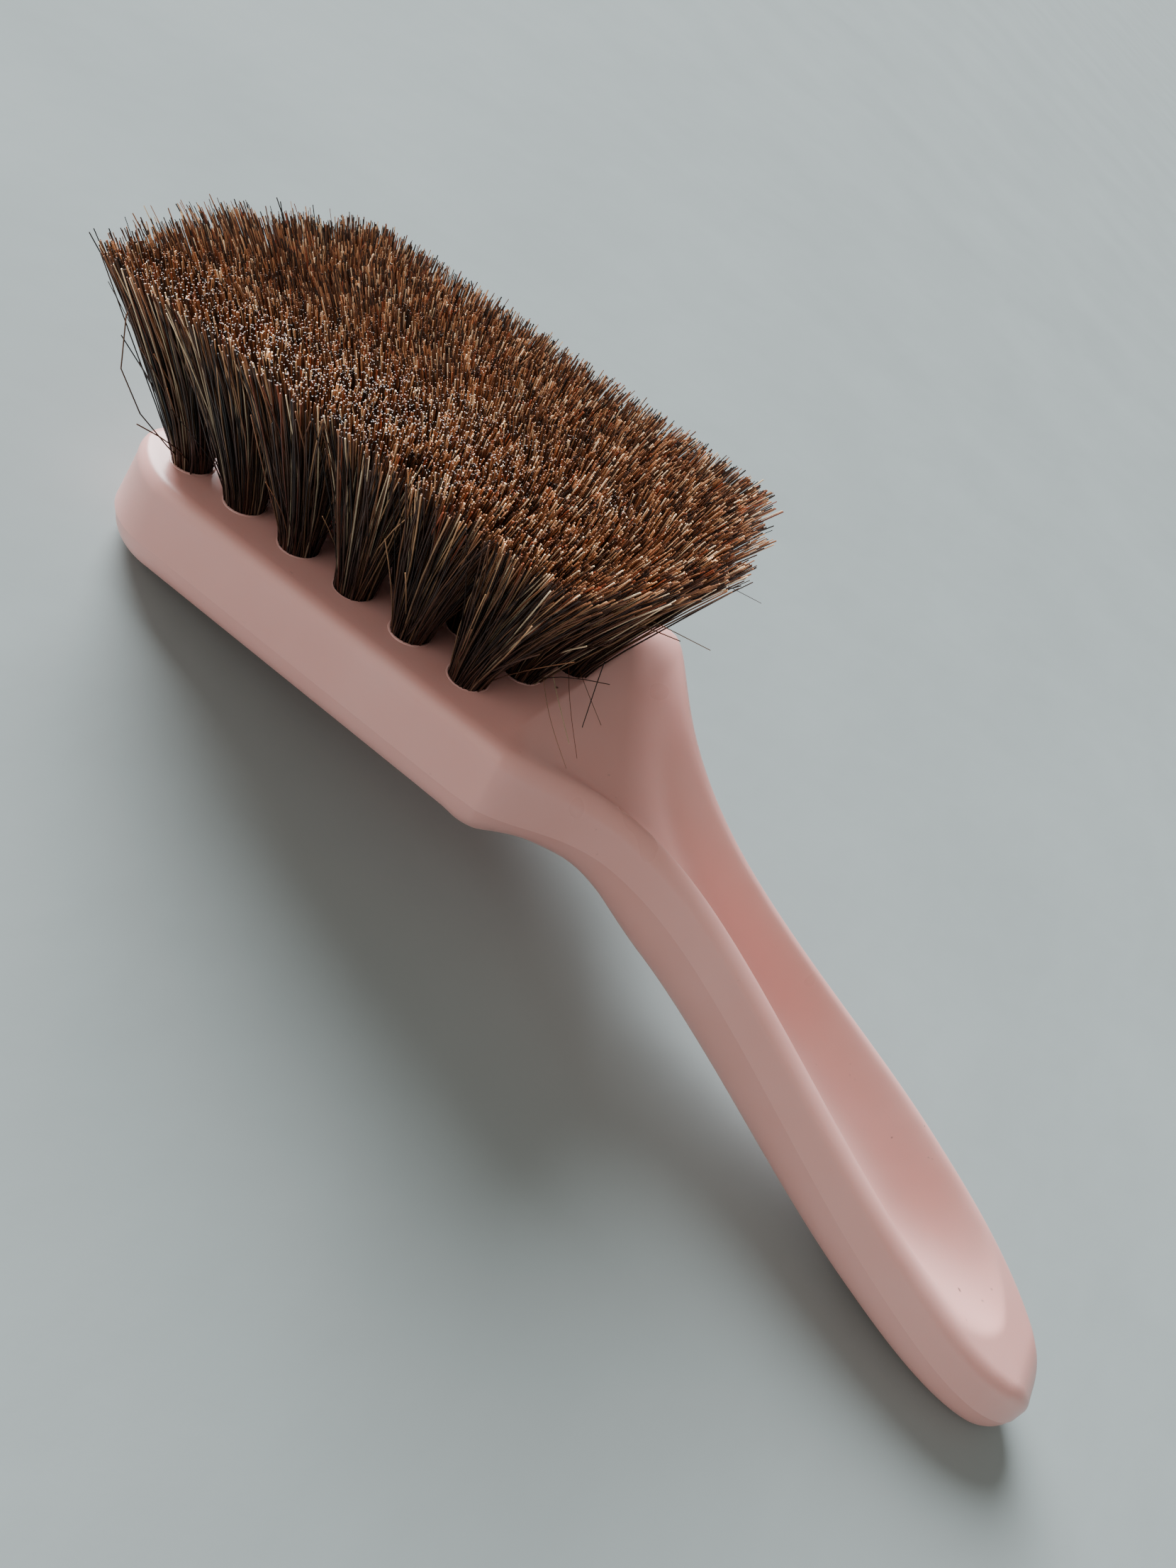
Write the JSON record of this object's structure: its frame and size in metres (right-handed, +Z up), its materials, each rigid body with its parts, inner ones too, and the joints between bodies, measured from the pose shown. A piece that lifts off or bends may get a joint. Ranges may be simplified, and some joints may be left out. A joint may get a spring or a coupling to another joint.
{
  "type": "horsehair hand brush",
  "caption": "Short-handled brush with a one-piece moulded pink plastic block and troughed handle, and dark horsehair tufts trimmed flat.",
  "frame": {"origin": "on the floor under the middle of the brush's bounding box, as it lies bristles up", "axes": "+X towards the tip of the handle, +Y across the brush, +Z up"},
  "size_m": [0.229, 0.0586, 0.0656],
  "materials": {
    "plastic": "satin gloss, pale pink",
    "hair": "cut horsehair, dark brown and black mixed",
    "steel": "flat drawn wire"
  },
  "bodies": {
    "root": {"moulded_body": "plastic", "tuft_1_1": "hair", "anchor_1_1": "steel", "tuft_1_2": "hair", "anchor_1_2": "steel", "tuft_1_3": "hair", "anchor_1_3": "steel", "tuft_1_4": "hair", "anchor_1_4": "steel", "tuft_1_5": "hair", "anchor_1_5": "steel", "tuft_1_6": "hair", "anchor_1_6": "steel", "tuft_2_1": "hair", "anchor_2_1": "steel", "tuft_2_2": "hair", "anchor_2_2": "steel", "tuft_2_3": "hair", "anchor_2_3": "steel", "tuft_2_4": "hair", "anchor_2_4": "steel", "tuft_2_5": "hair", "anchor_2_5": "steel", "tuft_2_6": "hair", "anchor_2_6": "steel", "tuft_3_1": "hair", "anchor_3_1": "steel", "tuft_3_2": "hair", "anchor_3_2": "steel", "tuft_3_3": "hair", "anchor_3_3": "steel", "tuft_3_4": "hair", "anchor_3_4": "steel", "tuft_3_5": "hair", "anchor_3_5": "steel", "tuft_4_1": "hair", "anchor_4_1": "steel", "tuft_4_2": "hair", "anchor_4_2": "steel", "tuft_4_3": "hair", "anchor_4_3": "steel", "tuft_4_4": "hair", "anchor_4_4": "steel", "tuft_4_5": "hair", "anchor_4_5": "steel", "tuft_4_6": "hair", "anchor_4_6": "steel", "tuft_5_1": "hair", "anchor_5_1": "steel", "tuft_5_2": "hair", "anchor_5_2": "steel", "tuft_5_3": "hair", "anchor_5_3": "steel", "tuft_5_4": "hair", "anchor_5_4": "steel", "tuft_5_5": "hair", "anchor_5_5": "steel", "tuft_5_6": "hair", "anchor_5_6": "steel"}
  },
  "joints": []
}
